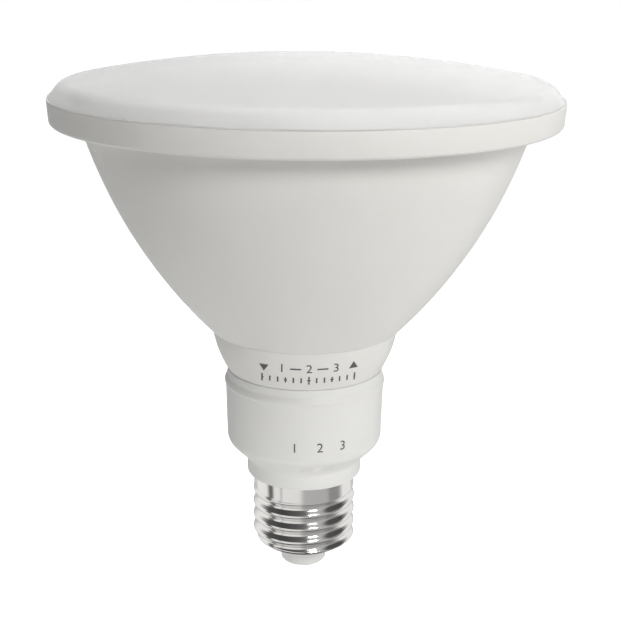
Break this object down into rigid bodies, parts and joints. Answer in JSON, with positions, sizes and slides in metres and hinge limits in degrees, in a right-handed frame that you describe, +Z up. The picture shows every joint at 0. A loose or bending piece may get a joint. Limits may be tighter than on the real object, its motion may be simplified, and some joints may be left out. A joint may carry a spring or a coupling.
{
  "type": "led reflector spotlight bulb",
  "caption": "White reflector spotlight bulb with an opal domed lens, a milky pull-off sleeve over the collar with its light-colour selector, and a nickel screw cap.",
  "frame": {"origin": "middle of the centre contact's flat face, the lowest point of the cap", "axes": "+Z up the lamp's axis from the cap to the lens, -Y to the side of the selector slot"},
  "size_m": [0.121, 0.121, 0.1314],
  "materials": {
    "opal_lens": "glossy opal",
    "white_plastic": "satin moulded white",
    "milky_silicone": "soft milky silicone",
    "knob_plastic": "moulded white",
    "black_plastic": "moulded black",
    "nickel_plate": "bright nickel plate",
    "insulator_white": "smooth white",
    "solder_tin": "dull tin",
    "aluminium": "drawn",
    "white_board": "white solder mask on aluminium",
    "warm_phosphor": "resin",
    "cool_phosphor": "resin",
    "screw_steel": "zinc plated",
    "lead_white": "insulated wire",
    "lead_red": "insulated wire",
    "green_board": "solder mask",
    "ferrite": "ferrite and tape",
    "capacitor_sleeve": "shrunk sleeve",
    "film_case": "boxed",
    "resistor_body": "coated"
  },
  "bodies": {
    "lamp": {"lens": "opal_lens", "front_ring": "white_plastic", "reflector_housing": "white_plastic", "driver_housing": "white_plastic", "base_collar": "white_plastic", "screw_shell": "nickel_plate", "cap_insulator": "insulator_white", "centre_contact": "solder_tin", "heat_sink": "aluminium", "led_board": "white_board", "warm_leds": "warm_phosphor", "cool_leds": "cool_phosphor", "board_screws": "screw_steel", "board_connector": "white_plastic", "led_leads": "lead_white", "live_lead": "lead_red", "neutral_lead": "lead_white", "driver_board": "green_board", "transformer": "ferrite", "choke": "ferrite", "input_capacitor": "capacitor_sleeve", "output_capacitor": "capacitor_sleeve", "film_capacitor": "film_case", "fuse_resistor": "resistor_body", "bridge_rectifier": "black_plastic", "driver_chip": "black_plastic", "selector_switch": "black_plastic"},
    "pull_sleeve": {"sleeve": "milky_silicone"},
    "selector": {"selector_knob": "knob_plastic"}
  },
  "joints": [
    {"name": "sleeve_pull", "type": "slide", "parent": "lamp", "child": "pull_sleeve", "axis": [0, 0, -1], "range_m": [0, 0.054]},
    {"name": "selector_slide", "type": "slide", "parent": "lamp", "child": "selector", "axis": [1, 0, 0], "range_m": [-0.003, 0.003]}
  ]
}
